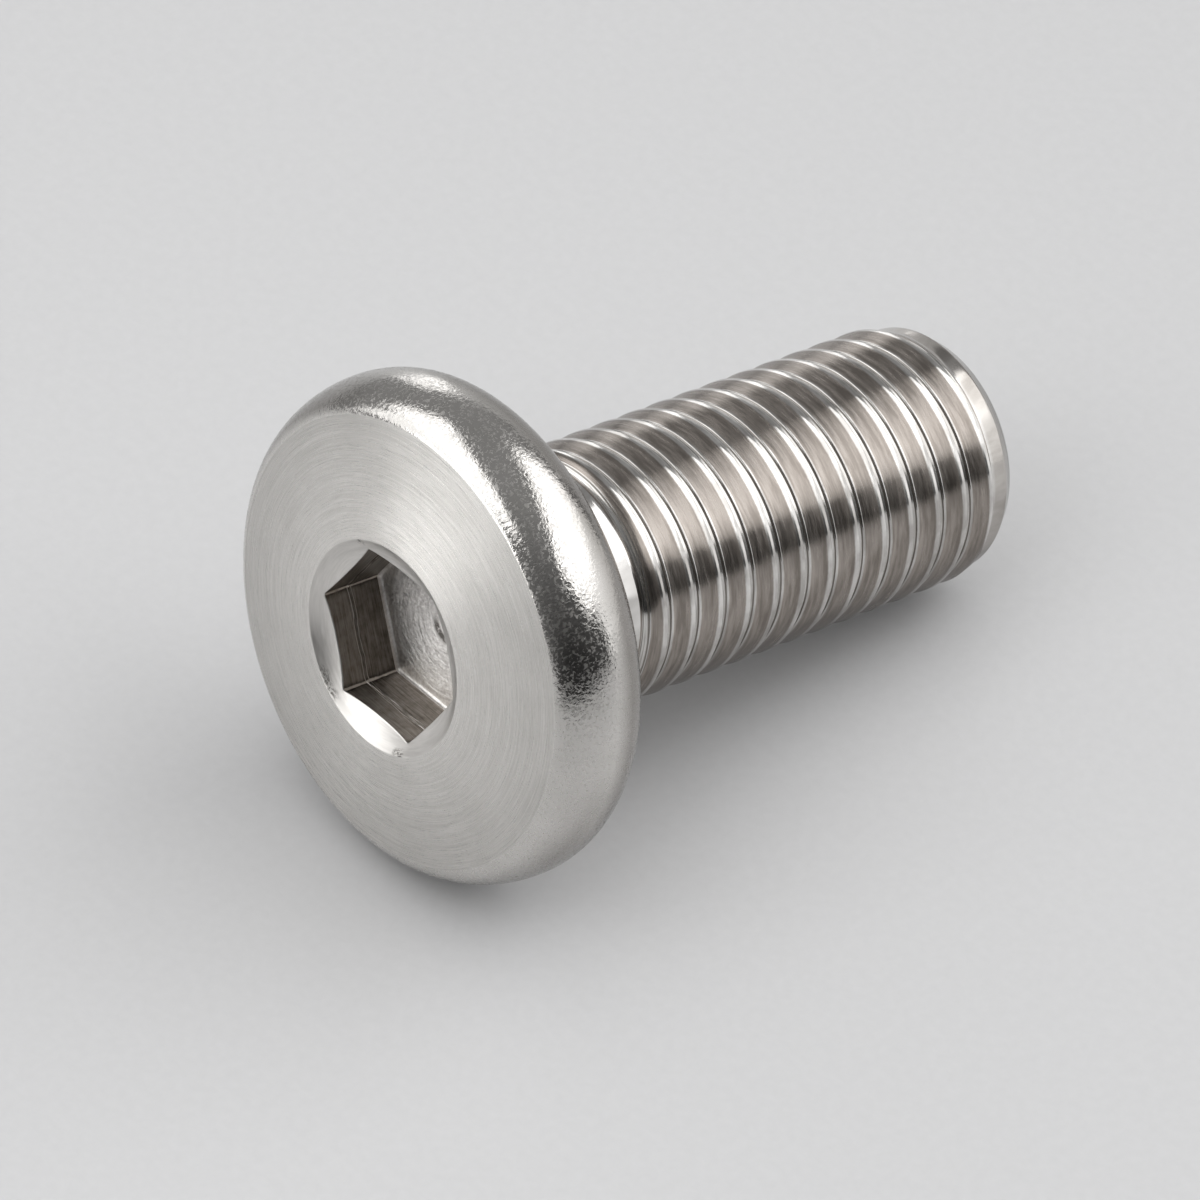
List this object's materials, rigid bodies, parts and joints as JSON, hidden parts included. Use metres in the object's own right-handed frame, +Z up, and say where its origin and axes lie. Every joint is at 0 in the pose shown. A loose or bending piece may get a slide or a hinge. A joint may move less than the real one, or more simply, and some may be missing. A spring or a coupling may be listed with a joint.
{
  "type": "decorative bolt",
  "caption": "Stainless decorative bolt with a wide, low rounded head, a hexagon socket and a threaded shank, lying at rest on its head rim and thread end.",
  "frame": {"origin": "centre of the bounding box's floor side, where the bolt lies", "axes": "+Z up, +Y along the floor from the head to the threaded end, +X across; the bolt's own axis lies in the YZ plane and dips 11.6 degrees towards +Y"},
  "size_m": [0.0154, 0.0228, 0.0153],
  "materials": {
    "stainless": "satin turned face, polished rim, bright thread"
  },
  "bodies": {
    "root": {"bolt": "stainless"}
  },
  "joints": []
}
